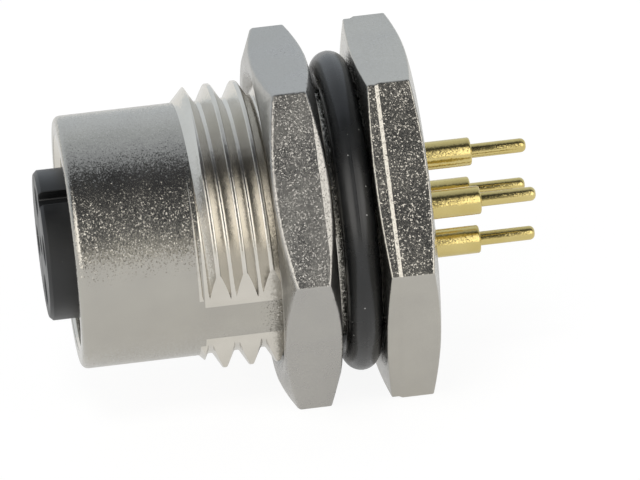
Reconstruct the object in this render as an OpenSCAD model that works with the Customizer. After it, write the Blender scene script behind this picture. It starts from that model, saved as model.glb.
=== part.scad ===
// M12 socket connector for a panel, with solder pins. Its axis lies along X and the mating face
// looks to -X. The origin is the centre of the contact circle, on the face of the circuit board.
// Angles are turned about +X and start at +Y. It lies on one facet of its flange and lock nut.

/* [Hexagons] */
// Rim between the panel thread and the flats of the flange and of the lock nut
hex_rim = 1.5; // [1.2:0.05:2.2]

/* [Shell] */
// Thickness of the flange
flange_t = 3.05; // [2.5:0.05:4]
// Width of the set-back strip along the front of each facet of the flange
flange_strip = 0.67; // [0.4:0.01:1]
// Length of the smooth barrel in front of the thread
barrel_len = 6.65; // [5.5:0.05:9]
// Radius on the front edge of the barrel
barrel_round = 0.4; // [0.1:0.05:0.6]
// Wall between the root of the panel thread and the cavity behind the socket
wall = 0.8; // [0.7:0.05:0.95]
// Depth from the front edge of the shell to the ledge that the insert rests on
socket_depth = 9.3; // [8:0.1:10]

/* [Panel thread] */
// Outer diameter of the panel thread
thread_d = 16; // [15.8:0.1:16.6]
// Pitch of the panel thread
thread_pitch = 1.5; // [1.25:0.05:1.75]
// Length of the threaded stretch
thread_len = 7.9; // [7:0.1:10]
// Distance from the axis to the flat milled along the thread
flat_reach = 6.85; // [6.75:0.05:7.2]

/* [Lock nut] */
// Thickness of the nut
nut_t = 3.2; // [2.6:0.1:3.8]
// Gap between the nut and the panel seal
nut_gap = 0.44; // [0.3:0.02:0.8]
// Angle of the bevel that rounds off the corners of the nut
nut_bevel = 25; // [15:1:30]
// Width of the sloped strip along the rear of each facet of the nut
nut_strip = 0.5; // [0.3:0.05:0.8]

/* [Seals] */
// Thickness of the panel seal
seal_t = 2; // [1.6:0.05:2.2]
// Thickness of the seal around the insert
insert_seal_t = 1; // [0.8:0.05:1.1]

/* [Insert] */
// Diameter of the insert's nose
insert_d = 8.5; // [8.3:0.05:8.8]
// Length of the nose that stands out of the shell
insert_proud = 1.45; // [0.5:0.05:2.5]
// Width of the coding groove
key_w = 0.9; // [0.7:0.05:1.1]
// Depth of the coding groove
key_depth = 0.7; // [0.5:0.05:0.8]
// Diameter of the holes that the mating pins enter through
entry_d = 1.4; // [1.3:0.05:1.45]
// Thickness of the plate that closes the insert at the back
plate_t = 1.2; // [1:0.1:2]
// Depth of the recess behind that plate
plate_recess = 0.8; // [0.5:0.1:1.2]

/* [Contacts] */
// Diameter of the circle through the contacts
contact_circle = 5; // [4.8:0.05:5.2]
// Outer diameter of the contact's socket
socket_d = 1.7; // [1.6:0.05:1.75]
// Bore of the contact's socket
socket_bore = 1; // [0.9:0.05:1.1]
// Length of the bore in the contact
bore_len = 8; // [6:0.1:9]
// Diameter of the collar that holds the contact
collar_d = 2.3; // [2.1:0.05:2.4]
// Diameter of the stout part of the pin
shoulder_d = 1.6; // [1.4:0.05:1.7]
// Length of the stout part behind the flange
shoulder_len = 3.35; // [2:0.05:5]
// Diameter of the solder tail
tail_d = 0.8; // [0.6:0.05:1]
// Length of the solder tail
tail_len = 3.15; // [2.5:0.05:4]

/* [Hidden] */
$fn = 96;

contact_count = 4;
fit = 0.05;              // gap round a piece that sits in or on another
bevel = 0.3;             // small bevel on a turned edge
face_inset = 0.2;        // how far the round face of a hexagon stays inside its flats
flat_angle = 210;        // direction that the milled flat faces
key_angle = flat_angle - 90;

// Places along the axis
flange_rear = -shoulder_len;
flange_front = flange_rear - flange_t;
neck_len = seal_t + 2 * fit + 0.15;
thread_rear = flange_front - neck_len;
thread_front = thread_rear - thread_len;
shell_front = thread_front - barrel_len;
insert_front = shell_front - insert_proud;
ledge = shell_front + socket_depth;
seal_groove = ledge + 1;
plate_rear = flange_rear - plate_recess;
plate_front = plate_rear - plate_t;
nut_rear = flange_front - fit - seal_t - nut_gap;
nut_front = nut_rear - nut_t;
collar_front = plate_front - 1;
contact_front = insert_front + 2;

// Radii
thread_r = thread_d / 2;
hex_r = thread_r + hex_rim;
thread_depth = 0.6 * thread_pitch;
root_r = thread_r - thread_depth;
barrel_r = root_r + 0.05;
neck_r = root_r - 0.1;
cavity_r = root_r - wall;
socket_r = 5.46;         // inner radius of the M12 thread that the plug screws into
mouth_r = 5.95;
nut_bore_r = thread_r + fit;
insert_r = insert_d / 2;
body_r = cavity_r - fit; // the insert's body and the plate behind it

// A turned solid about the X axis. Each point is [radius, place along the axis].
module turned(points)
    rotate([0, 90, 0]) rotate_extrude() polygon(points);

// A hexagonal bar along X with a facet underneath. Its facets may come in or go out along it.
module hex_bar(from, to, from_r, to_r)
    translate([from, 0, 0]) rotate([0, 90, 0]) rotate(30)
        cylinder(r1 = from_r / cos(30), r2 = to_r / cos(30), h = to - from, $fn = 6);

// What a lathe leaves of a hexagonal bar whose corners are turned down at both ends
module corners_turned(from, to, front_drop, rear_drop) {
    face_r = hex_r - face_inset;
    corner_r = hex_r / cos(30) + 0.01;
    turned([[0, from], [face_r, from], [corner_r, from + front_drop],
            [corner_r, to - rear_drop], [face_r, to], [0, to]]);
}

// The flange's hexagon, with a set-back strip along the front of each facet
module flange_hex() {
    strip_r = hex_r - 0.08;
    strip_end = flange_front + flange_strip;
    slope = 0.4;
    intersection() {
        union() {
            hex_bar(flange_front, flange_rear, strip_r, strip_r);
            intersection() {
                hex_bar(strip_end, flange_rear, hex_r, hex_r);
                hex_bar(strip_end, flange_rear, strip_r, strip_r + slope * (flange_rear - strip_end));
            }
        }
        corners_turned(flange_front, flange_rear, 0.28, 0.42);
    }
}

// The nut's hexagon, with a strip along the rear of each facet that slopes in
module nut_hex() {
    drop = (hex_r / cos(30) - hex_r) * tan(nut_bevel);
    end_r = hex_r - 0.11;
    slope = (hex_r - end_r) / nut_strip;
    intersection() {
        hex_bar(nut_front, nut_rear, hex_r, hex_r);
        hex_bar(nut_front, nut_rear, end_r + slope * nut_t, end_r);
        corners_turned(nut_front, nut_rear, drop, drop);
    }
}

// Moves to each contact in turn, or to the one that is asked for
module at_contact(which)
    rotate([key_angle + 45 + 90 * (which - 1), 0, 0])
        translate([0, contact_circle / 2, 0]) children();

// The groove of a right-handed thread, swept as a trapezium with flanks 60 degrees apart
module thread_groove(from, to, root, top) {
    steps_per_turn = 36;
    steps = ceil((to - from) / thread_pitch * steps_per_turn);
    root_half = 0.08 * thread_pitch;
    top_half = root_half + (top - root) * tan(30);
    profile = [[-root_half, root], [root_half, root], [top_half, top], [-top_half, top]];
    points = [for (i = [0:steps]) for (p = profile)
        let (turn = 360 * i / steps_per_turn)
        [from + thread_pitch * i / steps_per_turn + p[0], p[1] * cos(turn), p[1] * sin(turn)]];
    sides = [for (i = [0:steps - 1]) for (j = [0:3])
        let (a = 4 * i + j, b = 4 * i + (j + 1) % 4)
        each [[a, a + 4, b + 4], [a, b + 4, b]]];
    last = 4 * steps;
    polyhedron(points, concat([[0, 1, 2, 3]], sides, [[last + 3, last + 2, last + 1, last]]));
}

// The cut that leaves the flat along the thread, with the run-out of the milling cutter
module flat_cut() {
    cutter_r = 1.5;
    top = thread_r + 1;
    cut_end = thread_rear + neck_len / 4;
    run_out = [for (a = [60:-10:10]) [thread_front - cutter_r * sin(a),
                                      flat_reach + cutter_r * (1 - cos(a))]];
    rotate([flat_angle, 0, 0]) translate([0, 0, -thread_r])
        linear_extrude(2 * thread_r)
            polygon(concat(run_out, [[thread_front, flat_reach], [cut_end, flat_reach],
                                     [cut_end, top], [run_out[0][0], top]]));
}

module shell() {
    lead = thread_r - barrel_r;
    color("silver") difference() {
        union() {
            flange_hex();
            turned([[0, shell_front], [barrel_r - barrel_round, shell_front],
                    for (a = [15:15:90]) [barrel_r - barrel_round * (1 - sin(a)),
                                         shell_front + barrel_round * (1 - cos(a))],
                    [barrel_r, thread_front], [thread_r, thread_front + lead],
                    [thread_r, thread_rear - bevel], [thread_r - bevel, thread_rear],
                    [neck_r, thread_rear], [neck_r, flange_front + 1], [0, flange_front + 1]]);
        }
        turned([[0, shell_front - 1], [mouth_r + 1, shell_front - 1], [mouth_r, shell_front],
                [socket_r, shell_front + mouth_r - socket_r], [socket_r, ledge],
                [cavity_r, ledge], [cavity_r, flange_rear - bevel],
                [cavity_r + bevel, flange_rear], [cavity_r + bevel, flange_rear + 1],
                [0, flange_rear + 1]]);
        thread_groove(thread_front - 0.4, thread_rear + 0.6, root_r, thread_r + 0.08 * thread_pitch);
        flat_cut();
    }
}

module lock_nut() {
    mouth = 0.45;
    color("gainsboro") difference() {
        nut_hex();
        turned([[0, nut_front - 1], [nut_bore_r + mouth + 1, nut_front - 1],
                [nut_bore_r, nut_front + mouth], [nut_bore_r, nut_rear - mouth],
                [nut_bore_r + mouth + 1, nut_rear + 1], [0, nut_rear + 1]]);
    }
}

// A round rubber ring about the X axis
module seal_ring(inner_r, thickness, middle)
    translate([middle, 0, 0]) rotate([0, 90, 0])
        rotate_extrude() translate([inner_r + thickness / 2, 0]) circle(d = thickness);

module panel_seal()
    color("dimgray") seal_ring(neck_r + fit, seal_t, flange_front - fit - seal_t / 2);

module insert_seal()
    color("darkolivegreen")
        seal_ring(body_r - insert_seal_t, insert_seal_t, seal_groove + insert_seal_t / 2 + 0.1);

// The stepped hole for a contact: the plug's pin enters at its front, the contact from behind
module contact_seat() {
    entry_r = entry_d / 2;
    seat_r = socket_d / 2 + fit;
    pocket_r = collar_d / 2 + fit;
    turned([[0, insert_front - 1], [entry_r, insert_front - 1], [entry_r, contact_front - fit],
            [seat_r, contact_front - fit], [seat_r, collar_front - fit],
            [pocket_r, collar_front - fit], [pocket_r, plate_front + 1], [0, plate_front + 1]]);
}

// The nose of the insert, which the plug goes round
module insert() {
    edge = 0.2;
    color([0.16, 0.16, 0.17]) difference() {
        turned([[0, insert_front], [insert_r - edge, insert_front],
                [insert_r, insert_front + edge], [insert_r, ledge], [0, ledge]]);
        for (i = [1:contact_count]) at_contact(i) contact_seat();
        rotate([key_angle, 0, 0]) translate([insert_front - 1, insert_r - key_depth, -key_w / 2])
            cube([ledge - insert_front + 2, key_depth + 1, key_w]);
    }
}

// The body behind the nose, which rests on the ledge and holds the contacts
module insert_body() {
    groove_r = body_r - insert_seal_t - fit;
    groove_end = seal_groove + insert_seal_t + 0.2;
    color([0.2, 0.2, 0.22]) difference() {
        turned([[0, ledge], [body_r, ledge], [body_r, seal_groove], [groove_r, seal_groove],
                [groove_r, groove_end], [body_r, groove_end], [body_r, plate_front],
                [0, plate_front]]);
        for (i = [1:contact_count]) at_contact(i) contact_seat();
    }
}

module rear_plate()
    color([0.2, 0.2, 0.21]) difference() {
        turned([[0, plate_front], [body_r, plate_front], [body_r, plate_rear - bevel],
                [body_r - bevel, plate_rear], [0, plate_rear]]);
        for (i = [1:contact_count]) at_contact(i)
            translate([plate_front - 1, 0, 0]) rotate([0, 90, 0])
                cylinder(d = shoulder_d + 2 * fit, h = plate_t + 2);
    }

// A turned contact: a slit socket in front, a collar, a stout pin and a solder tail behind
module contact(which) {
    bore_r = socket_bore / 2;
    outer_r = socket_d / 2;
    shoulder_r = shoulder_d / 2;
    tail_r = tail_d / 2;
    tip = 0.3;
    slit_w = 0.25;
    slit_len = 5;
    edge = 0.12;
    color("goldenrod") at_contact(which) difference() {
        turned([[0, contact_front + bore_len], [bore_r, contact_front + bore_len - bore_r],
                [bore_r, contact_front + edge], [bore_r + edge, contact_front],
                [outer_r - edge, contact_front], [outer_r, contact_front + edge],
                [outer_r, collar_front], [collar_d / 2, collar_front],
                [collar_d / 2, plate_front], [shoulder_r, plate_front],
                [shoulder_r, -edge], [shoulder_r - edge, 0], [tail_r, 0],
                for (a = [0:15:75]) [tail_r - tip + tip * cos(a), tail_len - tip + tip * sin(a)],
                [tail_r - tip, tail_len], [0, tail_len]]);
        translate([contact_front - 1, -outer_r - 1, -slit_w / 2])
            cube([slit_len + 1, 2 * outer_r + 2, slit_w]);
    }
}

shell();
lock_nut();
panel_seal();
insert();
insert_body();
insert_seal();
rear_plate();
for (i = [1:contact_count])
    contact(i);
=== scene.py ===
import bpy
import math
from mathutils import Matrix, Vector


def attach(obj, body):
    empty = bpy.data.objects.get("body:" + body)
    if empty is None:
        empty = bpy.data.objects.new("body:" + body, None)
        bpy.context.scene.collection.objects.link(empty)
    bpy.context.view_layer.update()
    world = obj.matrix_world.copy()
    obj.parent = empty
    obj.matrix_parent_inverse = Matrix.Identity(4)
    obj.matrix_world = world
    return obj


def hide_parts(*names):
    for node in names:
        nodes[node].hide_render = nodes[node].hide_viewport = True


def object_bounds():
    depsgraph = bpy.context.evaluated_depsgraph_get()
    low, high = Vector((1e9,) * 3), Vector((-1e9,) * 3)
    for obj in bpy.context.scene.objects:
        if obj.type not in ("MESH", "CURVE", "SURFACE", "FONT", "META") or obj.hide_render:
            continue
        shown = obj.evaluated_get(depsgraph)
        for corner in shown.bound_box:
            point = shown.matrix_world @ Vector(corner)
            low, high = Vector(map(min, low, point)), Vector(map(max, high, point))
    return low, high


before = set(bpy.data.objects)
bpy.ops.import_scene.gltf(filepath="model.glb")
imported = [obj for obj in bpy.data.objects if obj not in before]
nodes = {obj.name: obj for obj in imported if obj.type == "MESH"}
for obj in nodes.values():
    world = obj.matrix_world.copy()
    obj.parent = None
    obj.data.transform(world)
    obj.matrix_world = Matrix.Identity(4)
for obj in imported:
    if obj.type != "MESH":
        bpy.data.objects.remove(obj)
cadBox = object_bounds()
mm = 0.001

# sizes in mm and angles in degrees that every piece shares
finestGap = 0.0005      # points closer than this are one point
sliver = 0.02           # the slivers that a cut leaves are narrower than this
flatEnough = 0.5        # faces that meet flatter than this are one face
bevelFrom = 25          # edges that turn by more than this are bevelled
creaseReach = 0.02      # how far a crease's points may lie from its place
beyond = 0.01           # how far a lathe or a test reaches past a form, so that it takes it all


def deselect():
    if bpy.context.mode != "OBJECT":
        bpy.ops.object.mode_set(mode="OBJECT")
    bpy.ops.object.select_all(action="DESELECT")


def activate(piece):
    deselect()
    piece.select_set(True)
    bpy.context.view_layer.objects.active = piece


def edit(piece, mode="VERT"):
    activate(piece)
    bpy.ops.object.mode_set(mode="EDIT")
    bpy.ops.mesh.select_mode(type=mode)
    bpy.ops.mesh.select_all(action="DESELECT")


def leaveEdit():
    bpy.ops.object.mode_set(mode="OBJECT")


def endsOf(piece, edge):
    return [piece.data.vertices[v].co for v in edge.vertices]


def weld(piece, gap):
    # joins points that lie closer than the gap, in mm
    edit(piece)
    bpy.ops.mesh.select_all(action="SELECT")
    bpy.ops.mesh.remove_doubles(threshold=gap * mm)
    leaveEdit()


def bevelWhere(piece, wanted, width, segments):
    # bevels the edges that pass the test
    edit(piece, "EDGE")
    leaveEdit()
    for edge in piece.data.edges:
        edge.select = wanted(edge)
    bpy.ops.object.mode_set(mode="EDIT")
    bpy.ops.mesh.bevel(offset=width * mm, segments=segments)
    leaveEdit()


def scaleWhere(piece, wanted, at, grow):
    # draws the points that pass the test out from the axis, or in towards it
    edit(piece)
    leaveEdit()
    for point in piece.data.vertices:
        point.select = wanted(point.co)
    bpy.ops.object.mode_set(mode="EDIT")
    bpy.ops.transform.resize(value=(1, grow, grow), center_override=(at * mm, 0, 0))
    leaveEdit()


def place(piece):
    # puts the piece's place into its mesh
    activate(piece)
    bpy.ops.object.transform_apply(location=True, rotation=True, scale=True)


def addModifier(piece, kind, settings):
    activate(piece)
    made = piece.modifiers.new(kind.lower(), kind)
    for name, value in settings.items():
        setattr(made, name, value)
    bpy.ops.object.modifier_apply(modifier=made.name)


def cut(piece, tool, operation="DIFFERENCE"):
    addModifier(piece, "BOOLEAN", {"operation": operation, "object": tool, "solver": "EXACT"})
    bpy.data.objects.remove(tool)


def joinAll(name, parts):
    deselect()
    for part in parts:
        part.select_set(True)
    bpy.context.view_layer.objects.active = parts[0]
    bpy.ops.object.join()
    parts[0].name = name
    return parts[0]


def facesOut(piece, inside=False):
    weld(piece, finestGap)
    edit(piece)
    bpy.ops.mesh.select_all(action="SELECT")
    bpy.ops.mesh.normals_make_consistent(inside=inside)
    leaveEdit()


def smooth(piece, angle=30):
    activate(piece)
    bpy.ops.object.shade_smooth_by_angle(angle=math.radians(angle))


def dropSlivers(piece):
    # takes out what a cut leaves between its faces, which would hold a bevel back
    weld(piece, sliver)
    edit(piece)
    bpy.ops.mesh.select_all(action="SELECT")
    bpy.ops.mesh.dissolve_limited(angle_limit=math.radians(flatEnough))
    leaveEdit()


def evenShading(piece, weight=80):
    addModifier(piece, "WEIGHTED_NORMAL", {"keep_sharp": True, "weight": weight})


def breakEdges(piece, width, creases=()):
    # takes the sharpness off every edge, as plating and tumbling do; a crease is a place along X
    # where a shallow line across the facets stays crisp
    dropSlivers(piece)
    addModifier(piece, "BEVEL", {"width": width * mm, "segments": 3, "limit_method": "ANGLE",
                                 "angle_limit": math.radians(bevelFrom),
                                 "use_clamp_overlap": False})
    smooth(piece, 35)
    for edge in piece.data.edges:
        ends = endsOf(piece, edge)
        if any(all(abs(c.x - at * mm) < creaseReach * mm for c in ends) for at in creases):
            edge.use_edge_sharp = True
    piece.data.update()
    evenShading(piece)


def turned(name, rings, around=128, hollow=True):
    # a circle drawn out along X ring by ring, as on a lathe; each ring is (place, radius) in mm
    deselect()
    at, radius = rings[0]
    bpy.ops.mesh.primitive_circle_add(vertices=around, radius=radius * mm,
                                      location=(at * mm, 0, 0), rotation=(0, math.radians(90), 0))
    piece = bpy.context.object
    piece.name = name
    place(piece)
    edit(piece)
    bpy.ops.mesh.select_all(action="SELECT")
    if not hollow:
        bpy.ops.mesh.edge_face_add()
    for nextAt, nextRadius in rings[1:]:
        bpy.ops.mesh.extrude_region_move(
            TRANSFORM_OT_translate={"value": ((nextAt - at) * mm, 0, 0)})
        grow = nextRadius / radius
        bpy.ops.transform.resize(value=(1, grow, grow), center_override=(nextAt * mm, 0, 0))
        at, radius = nextAt, nextRadius
    if hollow:
        bpy.ops.mesh.select_all(action="DESELECT")
        bpy.ops.mesh.select_non_manifold()
        bpy.ops.mesh.bridge_edge_loops()
    leaveEdit()
    facesOut(piece)
    return piece


def threadedRod(name, base, turns, pitch, profile, around=96):
    # profile: (share of the pitch, radius in mm) over one turn of a right-handed thread
    # that begins at base, at the +Y side
    deselect()
    bpy.ops.mesh.primitive_plane_add(size=mm, location=(0, 0, 0))
    piece = bpy.context.object
    piece.name = name
    edit(piece)
    bpy.ops.mesh.select_all(action="SELECT")
    bpy.ops.mesh.merge(type="CENTER")
    share, radius = profile[0]
    bpy.ops.transform.translate(value=((base + share * pitch) * mm, radius * mm, 0))
    for nextShare, nextRadius in profile[1:]:
        step = ((nextShare - share) * pitch * mm, (nextRadius - radius) * mm, 0)
        bpy.ops.mesh.extrude_vertices_move(TRANSFORM_OT_translate={"value": step})
        share, radius = nextShare, nextRadius
    leaveEdit()
    addModifier(piece, "SCREW", {"axis": "X", "angle": 2 * math.pi, "screw_offset": pitch * mm,
                                 "iterations": turns, "steps": around, "render_steps": around,
                                 "use_merge_vertices": True, "merge_threshold": 0.001 * mm})
    facesOut(piece)
    edit(piece)
    bpy.ops.mesh.select_all(action="SELECT")
    bpy.ops.mesh.fill_holes(sides=0)
    leaveEdit()
    facesOut(piece, inside=True)  # the skewed ends mislead the operator, which turns it round
    return piece


def cornerOf(acrossFlats):
    # how far a hexagon's corners reach from its axis
    return acrossFlats / 2 / math.cos(math.radians(30))


def hexBar(name, acrossFlats, start, end):
    deselect()
    bpy.ops.mesh.primitive_cylinder_add(
        vertices=6, radius=cornerOf(acrossFlats) * mm,
        depth=(end - start) * mm, location=((start + end) / 2 * mm, 0, 0),
        rotation=(0, math.radians(90), 0))
    piece = bpy.context.object
    piece.name = name
    place(piece)
    return piece


def pullEdgeIn(piece, at, width, depth):
    # slopes the last stretch of each facet inwards, up to the end at this place
    edit(piece, "EDGE")
    bpy.ops.mesh.select_all(action="SELECT")
    middle = sum(v.co.x for v in piece.data.vertices) / len(piece.data.vertices) / mm
    side = 1 if at > middle else -1
    bpy.ops.mesh.bisect(plane_co=((at - side * width) * mm, 0, 0), plane_no=(1, 0, 0))
    leaveEdit()

    def atEnd(c):
        return abs(c.x - at * mm) < 0.001 * mm

    corner = max(math.hypot(*v.co.yz) for v in piece.data.vertices if atEnd(v.co)) / mm
    scaleWhere(piece, atEnd, at, 1 - depth / (corner * math.cos(math.radians(30))))


def linear(hexColour):
    # sRGB hex to the linear values that Blender's sockets take
    parts = [int(hexColour[i:i + 2], 16) / 255 for i in (1, 3, 5)]
    return [p / 12.92 if p <= 0.04045 else ((p + 0.055) / 1.055) ** 2.4 for p in parts] + [1.0]


def addNode(tree, kind, settings=None, inputs=None, links=None, stops=()):
    # one node with its settings, its socket values, the links into it, and for a colour ramp its
    # stops as (place, hex colour)
    made = tree.nodes.new(kind)
    for name, value in (settings or {}).items():
        setattr(made, name, value)
    for name, value in (inputs or {}).items():
        made.inputs[name].default_value = value
    for name, source in (links or {}).items():
        tree.links.new(source, made.inputs[name])
    if stops:
        band = made.color_ramp.elements
        while len(band) < len(stops):
            band.new(0.5)
        for element, (at, colour) in zip(band, stops):
            element.position = at
            element.color = linear(colour)
    return made


def startMaterial(name):
    material = bpy.data.materials.new(name)
    material.use_nodes = True
    tree = material.node_tree
    tree.nodes.clear()
    return material, tree


# Camera: a long lens, low over the near side and a little towards the mating face
view = {
    "azimuth": -5.2,      # degrees, negative is towards the mating face
    "elevation": 22.0,
    "roll": 4.75,
    "distance": 450,      # mm
    "width": 35.96,       # mm that the frame takes in at the connector's axis
    "anchor": -21.88,     # this place on the axis...
    "anchorRight": -12.92,  # ...stands this far right of the frame's middle
}


def makeCamera():
    a, e, r = (math.radians(view[k]) for k in ("azimuth", "elevation", "roll"))
    back = Vector((math.sin(a) * math.cos(e), -math.cos(a) * math.cos(e), math.sin(e)))
    turn = back.to_track_quat("Z", "Y") @ Matrix.Rotation(-r, 3, "Z").to_quaternion()
    data = bpy.data.cameras.new("camera")
    data.sensor_width = 36
    data.lens = 36 * view["distance"] / view["width"]
    data.clip_start, data.clip_end = 0.01, 20
    camera = bpy.data.objects.new("camera", data)
    bpy.context.collection.objects.link(camera)
    right = turn @ Vector((1, 0, 0))
    target = Vector((view["anchor"] * mm, 0, 0)) - right * view["anchorRight"] * mm
    camera.rotation_mode = "QUATERNION"
    camera.rotation_quaternion = turn
    camera.location = target + back * view["distance"] * mm
    bpy.context.scene.camera = camera
    print("camera made")


# Surroundings: a white table and backdrop, a dark room above and behind the camera, and a soft
# panel lamp on each side of the camera, which the edges and the tilted grains of the metal catch
surroundings = {
    # places are turns about the connector's axis: 0 is the far horizon, 0.25 overhead,
    # 0.5 the near horizon and 0.75 straight down, where the table hides the room
    "room": [(0.0, "#dde4ea"), (0.07, "#e6edf4"), (0.105, "#e7eef7"), (0.14, "#dae1e7"),
             (0.19, "#ccd2da"), (0.235, "#b2b7bf"), (0.262, "#5d6064"), (0.29, "#3c3d40"),
             (0.36, "#424447"), (0.41, "#55575a"), (0.445, "#7e7f7f"), (0.475, "#b5b3ad"),
             (0.505, "#e1ded6"), (0.56, "#fffaf0")],
    "panelTurn": [(0.31, "#000000"), (0.385, "#ffffff"), (0.48, "#ffffff"), (0.51, "#808080")],
    # places are how far a direction leans to either end of the connector, 0 to 1
    "panelLean": [(0.24, "#000000"), (0.33, "#ffffff"), (0.72, "#ffffff"), (0.84, "#cccccc")],
    "panelColour": "#fffcf7", "panelStrength": 2.2,
}


def makeWorld():
    s = surroundings
    world = bpy.data.worlds.new("studio")
    bpy.context.scene.world = world
    world.use_nodes = True
    tree = world.node_tree
    tree.nodes.clear()
    where = addNode(tree, "ShaderNodeTexCoord")
    parts = addNode(tree, "ShaderNodeSeparateXYZ", links={"Vector": where.outputs["Generated"]})
    turn = addNode(tree, "ShaderNodeMath", {"operation": "ARCTAN2"},
                   links={0: parts.outputs["Z"], 1: parts.outputs["Y"]})
    share = addNode(tree, "ShaderNodeMath", {"operation": "DIVIDE"}, {1: 2 * math.pi},
                    {0: turn.outputs[0]})
    wrapped = addNode(tree, "ShaderNodeMath", {"operation": "FRACT"}, links={0: share.outputs[0]})
    lean = addNode(tree, "ShaderNodeMath", {"operation": "ABSOLUTE"}, links={0: parts.outputs["X"]})
    around = addNode(tree, "ShaderNodeValToRGB", links={"Fac": wrapped.outputs[0]}, stops=s["room"])
    room = addNode(tree, "ShaderNodeBackground", inputs={"Strength": 1.0},
                   links={"Color": around.outputs["Color"]})
    panel = addNode(tree, "ShaderNodeBackground", inputs={"Color": linear(s["panelColour"]),
                                                          "Strength": s["panelStrength"]})
    inTurn = addNode(tree, "ShaderNodeValToRGB", links={"Fac": wrapped.outputs[0]},
                     stops=s["panelTurn"])
    inLean = addNode(tree, "ShaderNodeValToRGB", links={"Fac": lean.outputs[0]},
                     stops=s["panelLean"])
    there = addNode(tree, "ShaderNodeMath", {"operation": "MULTIPLY"}, links={
        0: inTurn.outputs["Color"], 1: inLean.outputs["Color"]})
    lit = addNode(tree, "ShaderNodeMixShader", links={
        0: there.outputs[0], 1: room.outputs[0], 2: panel.outputs[0]})
    rays = addNode(tree, "ShaderNodeLightPath")
    white = addNode(tree, "ShaderNodeBackground", inputs={"Color": (1, 1, 1, 1), "Strength": 1.0})
    mixed = addNode(tree, "ShaderNodeMixShader", links={
        0: rays.outputs["Is Camera Ray"], 1: lit.outputs[0], 2: white.outputs[0]})
    addNode(tree, "ShaderNodeOutputWorld", links={"Surface": mixed.outputs[0]})
    print("world made")


# Floor: white paper, which glows a little so that it stays white under the camera
sheet = {
    "size": 1.2,             # metres
    "paper": "#f2f1ee", "glow": 1.04,
    # how much of what the camera and the metal see is glow; the rest is paper, with its shadow
    "glowForCamera": 0.88, "glowForMetal": 0.6,
}


def makeFloor():
    deselect()
    bpy.ops.mesh.primitive_plane_add(size=sheet["size"], location=(0, 0, cadBox[0].z))
    floor = bpy.context.object
    floor.name = "floor"
    material, tree = startMaterial("white paper")
    rays = addNode(tree, "ShaderNodeLightPath")
    paper = addNode(tree, "ShaderNodeBsdfDiffuse", inputs={"Color": linear(sheet["paper"])})
    glow = addNode(tree, "ShaderNodeEmission", inputs={"Color": (1, 1, 1, 1),
                                                       "Strength": sheet["glow"]})
    forCamera, forMetal = (addNode(tree, "ShaderNodeMixShader", inputs={0: sheet[k]}, links={
        1: paper.outputs[0], 2: glow.outputs[0]}) for k in ("glowForCamera", "glowForMetal"))
    mirrored = addNode(tree, "ShaderNodeMath", {"operation": "MAXIMUM"}, {}, {
        0: rays.outputs["Is Glossy Ray"], 1: rays.outputs["Is Transmission Ray"]})
    indirect = addNode(tree, "ShaderNodeMixShader", links={
        0: mirrored.outputs[0], 1: paper.outputs[0], 2: forMetal.outputs[0]})
    mixed = addNode(tree, "ShaderNodeMixShader", links={
        0: rays.outputs["Is Camera Ray"], 1: indirect.outputs[0], 2: forCamera.outputs[0]})
    addNode(tree, "ShaderNodeOutputMaterial", links={"Surface": mixed.outputs[0]})
    floor.data.materials.append(material)
    print("floor made")


# Lamp: in metres and watts; the metal shows only the panels, never this lamp
overhead = {"at": (-0.25, -0.5, 1.1), "aim": (-0.01, 0, 0), "size": 0.5, "power": 5.0}


def makeLamp():
    data = bpy.data.lights.new("overhead", "AREA")
    data.shape = "DISK"
    data.size = overhead["size"]
    data.energy = overhead["power"]
    lamp = bpy.data.objects.new("overhead", data)
    bpy.context.collection.objects.link(lamp)
    at = Vector(overhead["at"])
    lamp.location = at
    lamp.rotation_mode = "QUATERNION"
    lamp.rotation_quaternion = (at - Vector(overhead["aim"])).to_track_quat("Z", "Y")
    lamp.visible_glossy = False
    lamp.visible_camera = False
    print("lamp made")


# Electroplating on turned brass: it copies the grain of the metal under it, so a grey mirror
# breaks up into small faces that glitter where the room is dark and melt where it is pale
platings = {
    "shell": {"name": "nickel plating", "tones": ("#afaca5", "#b6b3ab"), "roughness": 0.21,
              "grain": 0.06, "tilt": 0.34, "peel": 0.0012, "scratch": 0.6},
    "nut": {"name": "satin nickel plating", "tones": ("#aba9a5", "#b2b0ab"), "roughness": 0.30,
            "grain": 0.055, "tilt": 0.40, "peel": 0.0012, "scratch": 0.0},
    "thread": {"name": "nickel plating on a cut thread", "tones": ("#cdc9c0", "#d9d5cd"),
               "roughness": 0.22, "grain": 0.09, "tilt": 0.1, "peel": 0.002, "scratch": 0.0},
    "contact": {"name": "gold plating", "tones": ("#cbb877", "#d6c588"), "roughness": 0.17,
                "grain": 0.05, "tilt": 0.15, "peel": 0.0008, "scratch": 0.0},
}

# what the platings share: the sizes of their patterns in mm, and limits as shares
platingSkin = {
    "ripple": 0.6, "patches": 2.5, "scratches": 2.6,
    "bends": 1.6, "stray": 0.8,      # how far apart a scratch's bends are, and how far they go
    "scratchWidth": 0.012,           # of the distance between scratches
    "scratchFrom": (0.62, 0.7),      # scratches show only where the noise is above these
    "patchFrom": (0.3, 0.7), "glossRange": (0.8, 1.2),
}


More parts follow.
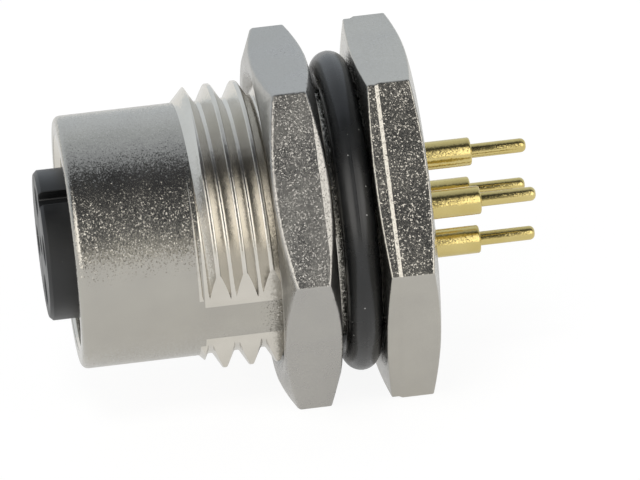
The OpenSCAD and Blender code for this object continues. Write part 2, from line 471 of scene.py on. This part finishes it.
def plating(look):
    skin = platingSkin
    material, tree = startMaterial(look["name"])
    where = addNode(tree, "ShaderNodeTexCoord").outputs["Object"]
    shape = addNode(tree, "ShaderNodeNewGeometry")
    # each grain leans its own way; drawn coarser than real so that it shows
    grains = addNode(tree, "ShaderNodeTexVoronoi", {"voronoi_dimensions": "3D", "feature": "F1"},
                     {"Scale": 1 / (look["grain"] * mm), "Randomness": 1.0}, {"Vector": where})
    lean = addNode(tree, "ShaderNodeVectorMath", {"operation": "SUBTRACT"}, {1: (0.5, 0.5, 0.5)},
                   {0: grains.outputs["Color"]})
    size = addNode(tree, "ShaderNodeVectorMath", {"operation": "ABSOLUTE"}, {},
                   {0: lean.outputs[0]})
    most = addNode(tree, "ShaderNodeVectorMath", {"operation": "MULTIPLY"}, {}, {
        0: lean.outputs[0], 1: size.outputs[0]})
    few = addNode(tree, "ShaderNodeVectorMath", {"operation": "MULTIPLY"}, {}, {
        0: most.outputs[0], 1: size.outputs[0]})  # most grains lean little and a few lean far
    leaned = addNode(tree, "ShaderNodeVectorMath", {"operation": "MULTIPLY_ADD"},
                     {1: (4 * look["tilt"],) * 3}, {0: few.outputs[0], 2: shape.outputs["Normal"]})
    facing = addNode(tree, "ShaderNodeVectorMath", {"operation": "NORMALIZE"}, {},
                     {0: leaned.outputs[0]})
    peel = addNode(tree, "ShaderNodeTexNoise", {"noise_dimensions": "3D"},
                   {"Scale": 1 / (skin["ripple"] * mm), "Detail": 2.0, "Roughness": 0.5},
                   {"Vector": where})
    # handling marks: thin broken lines, only here and there
    bent = addNode(tree, "ShaderNodeTexNoise", {},
                   {"Scale": 1 / (skin["bends"] * mm), "Detail": 2.0}, {"Vector": where})
    stray = addNode(tree, "ShaderNodeVectorMath", {"operation": "MULTIPLY_ADD"},
                    {1: (skin["stray"] * mm,) * 3}, {0: bent.outputs["Color"], 2: where})
    lines = addNode(tree, "ShaderNodeTexVoronoi", {"feature": "DISTANCE_TO_EDGE"},
                    {"Scale": 1 / (skin["scratches"] * mm)}, {"Vector": stray.outputs[0]})
    thin = addNode(tree, "ShaderNodeMapRange", {}, {
        "From Min": 0.0, "From Max": skin["scratchWidth"], "To Min": 1.0, "To Max": 0.0},
        {"Value": lines.outputs["Distance"]})
    fewest, full = skin["scratchFrom"]
    rare = addNode(tree, "ShaderNodeMapRange", {}, {"From Min": fewest, "From Max": full},
                   {"Value": bent.outputs["Fac"]})
    mark = addNode(tree, "ShaderNodeMath", {"operation": "MULTIPLY"}, {}, {
        0: thin.outputs["Result"], 1: rare.outputs["Result"]})
    height = addNode(tree, "ShaderNodeMath", {"operation": "MULTIPLY_ADD"}, {1: -look["scratch"]},
                     {0: mark.outputs[0], 2: peel.outputs["Fac"]})
    bump = addNode(tree, "ShaderNodeBump", {}, {"Strength": 1.0, "Distance": look["peel"] * mm},
                   {"Height": height.outputs[0], "Normal": facing.outputs[0]})
    patches = addNode(tree, "ShaderNodeTexNoise", {},
                      {"Scale": 1 / (skin["patches"] * mm), "Detail": 3.0}, {"Vector": where})
    tone = addNode(tree, "ShaderNodeValToRGB", links={"Fac": patches.outputs["Fac"]},
                   stops=list(zip(skin["patchFrom"], look["tones"])))
    low, high = skin["patchFrom"]
    smoothest, roughest = (look["roughness"] * share for share in skin["glossRange"])
    gloss = addNode(tree, "ShaderNodeMapRange", {}, {
        "From Min": low, "From Max": high, "To Min": smoothest, "To Max": roughest},
        {"Value": patches.outputs["Fac"]})
    metal = addNode(tree, "ShaderNodeBsdfPrincipled", {}, {"Metallic": 1.0}, {
        "Base Color": tone.outputs["Color"], "Roughness": gloss.outputs["Result"],
        "Normal": bump.outputs["Normal"]})
    addNode(tree, "ShaderNodeOutputMaterial", links={"Surface": metal.outputs[0]})
    return material


# Moulded parts. Filled black nylon has a dull, faintly pitted skin from a spark-eroded mould and
# shows a few pale specks of dust. Nitrile rubber is greyer and softer in its shine.
mouldings = {
    "nylon": {"name": "glass-filled nylon", "tones": ("#151617", "#1e1f20"), "roughness": 0.40,
              "ior": 1.53, "pit": 0.05, "depth": 0.0025, "speck": "#8d8e90", "specks": 0.045},
    "rubber": {"name": "nitrile rubber", "tones": ("#161718", "#1f2021"), "roughness": 0.26,
               "ior": 1.52, "pit": 0.09, "depth": 0.004, "speck": "#a0a09e", "specks": 0.06},
    "sealRubber": {"name": "inner nitrile rubber", "tones": ("#37392f", "#43453a"),
                   "roughness": 0.5, "ior": 1.52, "pit": 0.09, "depth": 0.004,
                   "speck": "#8f9082", "specks": 0.04},
}

# what the mouldings share: the sizes of their patterns in mm, and limits as shares
mouldedSkin = {
    "clouds": 1.8, "dust": 0.7, "cloudFrom": (0.32, 0.68),
    "glossFrom": (0.3, 0.7), "glossier": 0.06, "duller": 0.08, "pitStrength": 0.8,
}


def moulding(look):
    skin = mouldedSkin
    material, tree = startMaterial(look["name"])
    where = addNode(tree, "ShaderNodeTexCoord").outputs["Object"]
    pits = addNode(tree, "ShaderNodeTexNoise", {}, {"Scale": 1 / (look["pit"] * mm), "Detail": 3.0},
                   {"Vector": where})
    clouds = addNode(tree, "ShaderNodeTexNoise", {},
                     {"Scale": 1 / (skin["clouds"] * mm), "Detail": 4.0}, {"Vector": where})
    dust = addNode(tree, "ShaderNodeTexVoronoi", {"feature": "F1"},
                   {"Scale": 1 / (skin["dust"] * mm)}, {"Vector": where})
    spot = addNode(tree, "ShaderNodeMath", {"operation": "LESS_THAN"}, {1: look["specks"]},
                   {0: dust.outputs["Distance"]})
    tone = addNode(tree, "ShaderNodeValToRGB", links={"Fac": clouds.outputs["Fac"]},
                   stops=list(zip(skin["cloudFrom"], look["tones"])))
    dusted = addNode(tree, "ShaderNodeMixRGB", {}, {"Color2": linear(look["speck"])},
                     {"Fac": spot.outputs[0], "Color1": tone.outputs["Color"]})
    low, high = skin["glossFrom"]
    gloss = addNode(tree, "ShaderNodeMapRange", {}, {
        "From Min": low, "From Max": high, "To Min": look["roughness"] - skin["glossier"],
        "To Max": look["roughness"] + skin["duller"]}, {"Value": clouds.outputs["Fac"]})
    bump = addNode(tree, "ShaderNodeBump", {}, {
        "Strength": skin["pitStrength"], "Distance": look["depth"] * mm},
        {"Height": pits.outputs["Fac"]})
    plastic = addNode(tree, "ShaderNodeBsdfPrincipled", {}, {"IOR": look["ior"]}, {
        "Base Color": dusted.outputs[0], "Roughness": gloss.outputs["Result"],
        "Normal": bump.outputs["Normal"]})
    addNode(tree, "ShaderNodeOutputMaterial", links={"Surface": plastic.outputs[0]})
    return material


def dress(node, material):
    for slot in nodes[node].material_slots:
        slot.material = material


def finishPiece(piece, body, node, material=None):
    if material:
        piece.data.materials.clear()
        piece.data.materials.append(material)
    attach(piece, body)
    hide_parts(node)


# Lock nut: a hexagon with turned corners and a sloped strip along the rear of each facet
lockNut = {
    "acrossFlats": 19, "front": -12.09, "rear": -8.89,
    "stripWidth": 0.5, "stripDepth": 0.11,
    "cornerDrop": 0.685,     # how far the turned corners come in along the axis
    "faceInset": 0.2,        # how far the turned faces stay inside the facets
    "bore": 8.05, "countersink": 0.45, "edge": 0.1,
    "frontEdge": 0.16,       # the facets' front edges are rounder than the rest
}


def roundFrontRim(piece, width):
    # the curved edges where the facets meet the turned corners at the front
    dropSlivers(piece)
    lean = {}
    for face in piece.data.polygons:
        for key in face.edge_keys:
            lean.setdefault(key, []).append(face.normal.x)
    cone, facet = -0.8, -0.3  # a cone leans further to the front than this, a facet less far
    bevelWhere(piece, lambda e: min(lean[e.key]) < cone and max(lean[e.key]) > facet, width, 4)


def makeLockNut():
    n = lockNut
    piece = hexBar("hexNut", n["acrossFlats"], n["front"], n["rear"])
    pullEdgeIn(piece, n["rear"], n["stripWidth"], n["stripDepth"])
    flat = n["acrossFlats"] / 2
    corner = cornerOf(n["acrossFlats"]) + beyond
    sink = n["bore"] + n["countersink"]
    face = flat - n["faceInset"]
    lathe = turned("nutLathe", [
        (n["front"], sink), (n["front"], face), (n["front"] + n["cornerDrop"], corner),
        (n["rear"] - n["cornerDrop"], corner), (n["rear"], face), (n["rear"], sink),
        (n["rear"] - n["countersink"], n["bore"]), (n["front"] + n["countersink"], n["bore"])], 192)
    cut(piece, lathe, "INTERSECT")
    roundFrontRim(piece, n["frontEdge"])
    breakEdges(piece, n["edge"], creases=(n["rear"] - n["stripWidth"],))
    print("lock nut made")
    return piece


# Shell: barrel, panel thread with its milled flat, neck and hexagonal flange
shell = {
    "acrossFlats": 19, "flangeFront": -6.40, "flangeRear": -3.35,
    "stripWidth": 0.67, "stripDepth": 0.08, "stripSlope": 0.2,
    "frontDrop": 0.28, "rearDrop": 0.42, "faceInset": 0.2,
    "front": -23.20, "threadFront": -16.55, "threadRear": -8.65,
    "barrel": 7.15, "barrelRound": 0.4, "thread": 8.0, "pitch": 1.5, "root": 7.1,
    "grooveStart": -16.95,   # a groove's middle at the +Y side
    "neck": 7.0, "cavity": 6.3, "ledge": -13.90, "chamfer": 0.3,
    "mouth": 5.95, "mouthEdge": 0.05, "innerThread": 5.46, "innerRoot": 6.0, "innerPitch": 1.0,
    "flatReach": 6.85, "flatAngle": 210, "cutter": 1.5, "cutterStop": 1.6, "edge": 0.1,
}


def panelThread():
    # crests and roots are slightly rounded, with flanks 60 degrees apart
    s = shell
    pitch, root, crest = s["pitch"], s["root"], s["thread"]
    rootHalf, ease = 0.08, 0.025  # shares of the pitch
    rise, drop, hint = 0.045, 0.06, 0.015  # mm that the roundings take
    flank = (crest - root) * math.tan(math.radians(30)) / pitch
    up, down = rootHalf + flank, 1 - rootHalf - flank
    profile = [(0, root), (rootHalf - ease, root), (rootHalf + ease, root + rise),
               (up - ease, crest - drop), (up, crest - hint), (up + ease, crest),
               (down - ease, crest), (down, crest - hint), (down + ease, crest - drop),
               (1 - rootHalf - ease, root + rise), (1 - rootHalf + ease, root), (1, root)]
    spare = 3  # turns beyond each end, which the lathe takes off
    turns = math.ceil((s["threadRear"] - s["threadFront"]) / pitch) + 2 * spare
    rod = threadedRod("threadedStretch", s["grooveStart"] - spare * pitch, turns, pitch, profile)
    lead, spareRadius = crest - s["barrel"], crest + 2 * beyond
    lathe = turned("threadLathe", [
        (s["threadFront"], s["innerRoot"]), (s["threadFront"], s["barrel"]),
        (s["threadFront"] + lead, spareRadius), (s["threadRear"] - s["chamfer"], spareRadius),
        (s["threadRear"], crest - s["chamfer"]), (s["threadRear"], s["innerRoot"])])
    cut(rod, lathe, "INTERSECT")
    cut(rod, flatCutter())
    weld(rod, 0.002)  # the hairline that the cuts leave at the front end of the first groove
    smooth(rod, 32)
    evenShading(rod, 60)
    return rod


def flatCutter():
    # the slab that a milling cutter clears, with the cutter's round run-out at the front
    s = shell
    deselect()
    start, end = s["threadFront"] - s["cutter"], s["flangeFront"] - s["cutterStop"]
    deep, wide = 4, 18
    bpy.ops.mesh.primitive_cube_add(
        size=1, location=((start + end) / 2 * mm, (s["flatReach"] + deep / 2) * mm, 0),
        scale=((end - start) * mm, deep * mm, wide * mm))
    piece = bpy.context.object
    place(piece)
    left, low = (start + beyond) * mm, (s["flatReach"] + beyond) * mm
    bevelWhere(piece, lambda e: all(c.x < left and c.y < low for c in endsOf(piece, e)),
               s["cutter"], 10)
    activate(piece)
    bpy.ops.transform.rotate(value=-math.radians(s["flatAngle"]), orient_axis="X",
                             center_override=(0, 0, 0))
    place(piece)
    return piece


def barrelAndNeck():
    # runs on under the thread, into the flange and behind the inner thread, so that no gap shows
    s = shell
    front, r, ease = s["front"], s["barrel"], s["barrelRound"]
    steps = [(front + ease * (1 - math.cos(math.radians(a))),
              r - ease * (1 - math.sin(math.radians(a)))) for a in range(0, 91, 15)]
    core, wall = s["root"] - 0.1, s["innerRoot"] + 0.1
    inThread, outOfThread = s["threadFront"] + 0.3, s["threadRear"] - 0.2
    inFlange, behindLedge = s["flangeFront"] + 0.5, s["ledge"] - 1
    body = turned("barrel", steps + [
        (inThread, r), (inThread, core), (outOfThread, core), (outOfThread, s["neck"]),
        (inFlange, s["neck"]), (inFlange, s["cavity"]), (s["ledge"], s["cavity"]),
        (s["ledge"], s["innerThread"]), (behindLedge, s["innerThread"]), (behindLedge, wall),
        (front + s["mouthEdge"], wall), (front, wall + s["mouthEdge"])])
    smooth(body, 35)
    return body


def innerThread():
    # the M12 thread that the plug's ring screws into
    s = shell
    pitch, root, crest = s["innerPitch"], s["innerThread"], s["innerRoot"]
    flank, ease, hint = 0.12, 0.04, 0.03  # shares of the pitch, and mm for the last
    profile = [(0, root), (flank, root), (0.5 - ease, crest - hint), (0.5, crest),
               (0.5 + ease, crest - hint), (1 - flank, root), (1, root)]
    turns, spare = 10, 3  # the spare turns stand out in front of the mouth
    rod = threadedRod("tap", s["front"] - spare * pitch, turns, pitch, profile)
    front, inside, back = s["front"] + s["mouthEdge"], s["front"] + 0.55, s["ledge"] - 0.95
    wall, bore = crest + 0.3, root - 0.2  # the tap takes off all that stands in past its root
    sleeve = turned("innerThread", [
        (front, wall), (front, s["mouth"] + 0.1), (inside, root - 0.05), (inside, bore),
        (back, bore), (back, wall)])
    cut(sleeve, rod)
    smooth(sleeve, 32)
    return sleeve


def flange():
    s = shell
    start = s["flangeFront"]
    back = s["flangeRear"]
    flat = s["acrossFlats"] / 2
    stripEnd, barEnd = start + s["stripWidth"], start + 1.2  # the bar ends inside the flange
    strip = hexBar("flangeStrip", s["acrossFlats"] - 2 * s["stripDepth"], start, barEnd)
    main = hexBar("flange", s["acrossFlats"], stripEnd, back)
    pullEdgeIn(main, stripEnd, s["stripSlope"], s["stripDepth"])
    cut(main, strip, "UNION")
    corner, face = cornerOf(s["acrossFlats"]) + beyond, flat - s["faceInset"]
    lathe = turned("flangeLathe", [
        (start, s["cavity"]), (start, face), (start + s["frontDrop"], corner),
        (back - s["rearDrop"], corner), (back, face), (back, s["cavity"] + s["chamfer"]),
        (back - s["chamfer"], s["cavity"])], 192)
    cut(main, lathe, "INTERSECT")
    breakEdges(main, s["edge"], creases=(stripEnd, stripEnd + s["stripSlope"]))
    return main


def makeShell(nickel, threadNickel):
    parts = [flange(), barrelAndNeck(), panelThread(), innerThread()]
    for part, finish in zip(parts, (nickel, nickel, threadNickel, threadNickel)):
        part.data.materials.clear()
        part.data.materials.append(finish)
    piece = joinAll("threadedShell", parts)
    print("shell made")
    return piece


# Panel seal: a moulded ring with the parting line of its mould round the outside
panelSeal = {
    "middle": -7.45, "ring": 8.05, "thickness": 2.0,
    "partingWidth": 0.05, "partingHeight": 0.012,   # drawn coarser than real so that it shows
}


def makePanelSeal():
    s = panelSeal
    deselect()
    bpy.ops.mesh.primitive_torus_add(
        major_radius=s["ring"] * mm, minor_radius=s["thickness"] / 2 * mm, major_segments=192,
        minor_segments=48, location=(s["middle"] * mm, 0, 0), rotation=(0, math.radians(90), 0))
    piece = bpy.context.object
    piece.name = "sealRing"
    place(piece)
    edge, middle = s["ring"] + s["thickness"] / 2, s["middle"]
    outer, near, slack = (edge - 0.001) * mm, 0.002 * mm, 0.05 * mm
    bevelWhere(piece, lambda e: all(math.hypot(*c.yz) > outer for c in endsOf(piece, e)),
               s["partingWidth"], 2)
    scaleWhere(piece, lambda c: (abs(c.x - middle * mm) < near
                                 and math.hypot(*c.yz) > outer - slack),
               middle, 1 + s["partingHeight"] / edge)
    smooth(piece, 40)
    print("panel seal made")
    return piece


# Contacts: turned from one bar, with a slit socket in front and a solder tail behind
contact = {
    "count": 4, "circle": 5.0, "firstAngle": 165,
    "front": -22.65, "socket": 0.85, "bore": 0.5, "boreDepth": 8.0, "mouth": 0.12,
    "collarFront": -6.35, "collarRear": -5.35, "collar": 1.15,
    "shoulder": 0.8, "shoulderRound": 0.14, "board": 0.0,
    "tail": 0.4, "tailEnd": 3.15, "tailRound": 0.3,
    "slitWidth": 0.25, "slitLength": 5, "slitEdge": 0.03,
    "drillTip": 0.44, "drillPoint": 0.06, "lip": 0.12, "ease": 0.05,
}


def atContact(piece, number):
    # moves a piece that is modelled on the axis to one of the contact's places
    c = contact
    activate(piece)
    bpy.ops.transform.translate(value=(0, c["circle"] / 2 * mm, 0))
    angle = c["firstAngle"] + 360 / c["count"] * number
    bpy.ops.transform.rotate(value=-math.radians(angle), orient_axis="X", center_override=(0, 0, 0))
    place(piece)


def copyPiece(piece, name):
    activate(piece)
    bpy.ops.object.duplicate(linked=False)
    made = bpy.context.object
    made.name = name
    return made


def roundedEnd(at, radius, ease, steps):
    # the (place, radius) rings of a corner that is rounded off towards +X
    return [(at - ease * (1 - math.sin(math.radians(a))),
             radius - ease * (1 - math.cos(math.radians(a)))) for a in steps]


def makeContact():
    c = contact
    start = c["front"]
    deep, lip, ease = start + c["boreDepth"], c["lip"], c["ease"]
    rings = [(deep, c["drillPoint"]), (deep - c["drillTip"], c["bore"]),
             (start + c["mouth"], c["bore"]), (start, c["bore"] + c["mouth"]),
             (start, c["socket"] - lip), (start + lip / 3, c["socket"] - lip / 3),
             (start + lip, c["socket"]), (c["collarFront"], c["socket"]),
             (c["collarFront"], c["collar"] - ease), (c["collarFront"] + ease, c["collar"]),
             (c["collarRear"], c["collar"]), (c["collarRear"], c["shoulder"])]
    rings += roundedEnd(c["board"], c["shoulder"], c["shoulderRound"], (0, 30, 60, 90))
    rings += [(c["board"], c["tail"] + ease), (c["board"] + ease, c["tail"])]
    rings += roundedEnd(c["tailEnd"], c["tail"], c["tailRound"], (0, 20, 40, 60, 80))
    rings += [(c["tailEnd"], c["tail"] - c["tailRound"])]
    piece = turned("turnedContact", rings, 72, hollow=False)
    deselect()
    length = c["slitLength"] + 1
    bpy.ops.mesh.primitive_cube_add(
        size=1, location=((start - 1 + length / 2) * mm, 0, 0),
        scale=(length * mm, 4 * c["socket"] * mm, c["slitWidth"] * mm))
    slit = bpy.context.object
    place(slit)
    bevelWhere(slit, lambda e: True, c["slitEdge"], 2)
    cut(piece, slit)
    smooth(piece, 35)
    evenShading(piece)
    return piece


def makeContacts(gold):
    first = makeContact()
    for i in range(contact["count"]):
        piece = copyPiece(first, "turnedContact" + str(i + 1))
        atContact(piece, i)
        finishPiece(piece, "housing", "contact_" + str(i + 1), gold)
    bpy.data.objects.remove(first)
    print("contacts made")


# Insert: the nose that the plug goes round, with a hole over each contact and a coding groove
insertNose = {
    "front": -24.65, "ledge": -13.90, "radius": 4.25, "edge": 0.2,
    "entry": 0.7, "countersink": 0.22, "seatFront": -22.70, "seat": 0.9,
    "keyAngle": 120, "keyWidth": 0.9, "keyDepth": 0.7, "keyRound": 0.1,
    "gate": 0.5, "gateDepth": 0.08, "fineEdge": 0.025,
}


def makeInsertNose():
    n = insertNose
    start, end, gate = n["front"], n["ledge"], n["gate"]
    nose = turned("insertNose", [
        (start + n["gateDepth"], gate - 0.12), (start + n["gateDepth"], gate), (start, gate + 0.06),
        (start, n["radius"] - n["edge"]), (start + n["edge"], n["radius"]), (end, n["radius"])],
        128, hollow=False)
    for i in range(contact["count"]):
        seat = turned("seat", [
            (start - 0.1, n["entry"] + n["countersink"] + 0.1),
            (start + n["countersink"], n["entry"]),
            (n["seatFront"], n["entry"]), (n["seatFront"], n["seat"]), (end + 1, n["seat"])],
            48, hollow=False)
        atContact(seat, i)
        cut(nose, seat)
    deselect()
    reach = n["radius"] - n["keyDepth"]
    deep = 2
    bpy.ops.mesh.primitive_cube_add(
        size=1, location=((start + end) / 2 * mm, (reach + deep / 2) * mm, 0),
        scale=((end - start + 2) * mm, deep * mm, n["keyWidth"] * mm))
    key = bpy.context.object
    place(key)

    def atBottom(edge):
        a, b = endsOf(key, edge)
        return max(a.y, b.y) < (reach + beyond) * mm and abs(a.z - b.z) < beyond * mm

    bevelWhere(key, atBottom, n["keyRound"], 3)
    activate(key)
    bpy.ops.transform.rotate(value=-math.radians(n["keyAngle"]), orient_axis="X",
                             center_override=(0, 0, 0))
    place(key)
    cut(nose, key)
    breakEdges(nose, n["fineEdge"])
    print("insert nose made")
    return nose


# Rear plate: it closes the insert, with a shallow moulded groove and a hole for each pin
rearPlate = {
    "front": -5.35, "rear": -4.15, "radius": 6.25, "bevel": 0.3, "hole": 0.85, "countersink": 0.15,
    "groove": (4.5, 5.1), "grooveDepth": 0.12, "gate": 0.6, "fineEdge": 0.025,
}


def makeRearPlate():
    p = rearPlate
    back, low = p["rear"], p["rear"] - p["grooveDepth"]
    inner, outer = p["groove"]
    plate = turned("rearPlate", [
        (low, p["gate"] - 0.15), (low, p["gate"]), (back, p["gate"] + 0.08),
        (back, inner - 0.06), (low, inner), (low, outer), (back, outer + 0.06),
        (back, p["radius"] - p["bevel"]), (back - p["bevel"], p["radius"]),
        (p["front"], p["radius"])], 128, hollow=False)
    for i in range(contact["count"]):
        sink = p["countersink"]
        hole = turned("hole", [(back + 0.1, p["hole"] + sink + 0.1), (back - sink, p["hole"]),
                               (p["front"] - 1, p["hole"])], 48, hollow=False)
        atContact(hole, i)
        cut(plate, hole)
    breakEdges(plate, p["fineEdge"])
    print("rear plate made")
    return plate


makeCamera()
makeWorld()
makeFloor()
makeLamp()

nickel, satinNickel, threadNickel, gold = (
    plating(platings[k]) for k in ("shell", "nut", "thread", "contact"))
nylon, rubber, innerRubber = (moulding(mouldings[k]) for k in ("nylon", "rubber", "sealRubber"))
print("materials made")

finishPiece(makeShell(nickel, threadNickel), "housing", "shell")
finishPiece(makeLockNut(), "nut", "lock_nut", satinNickel)
finishPiece(makePanelSeal(), "housing", "panel_seal", rubber)
finishPiece(makeInsertNose(), "housing", "insert", nylon)
finishPiece(makeRearPlate(), "housing", "rear_plate", nylon)
makeContacts(gold)
dress("insert_body", nylon)
dress("insert_seal", innerRubber)

bpy.context.scene.view_settings.view_transform = "Standard"
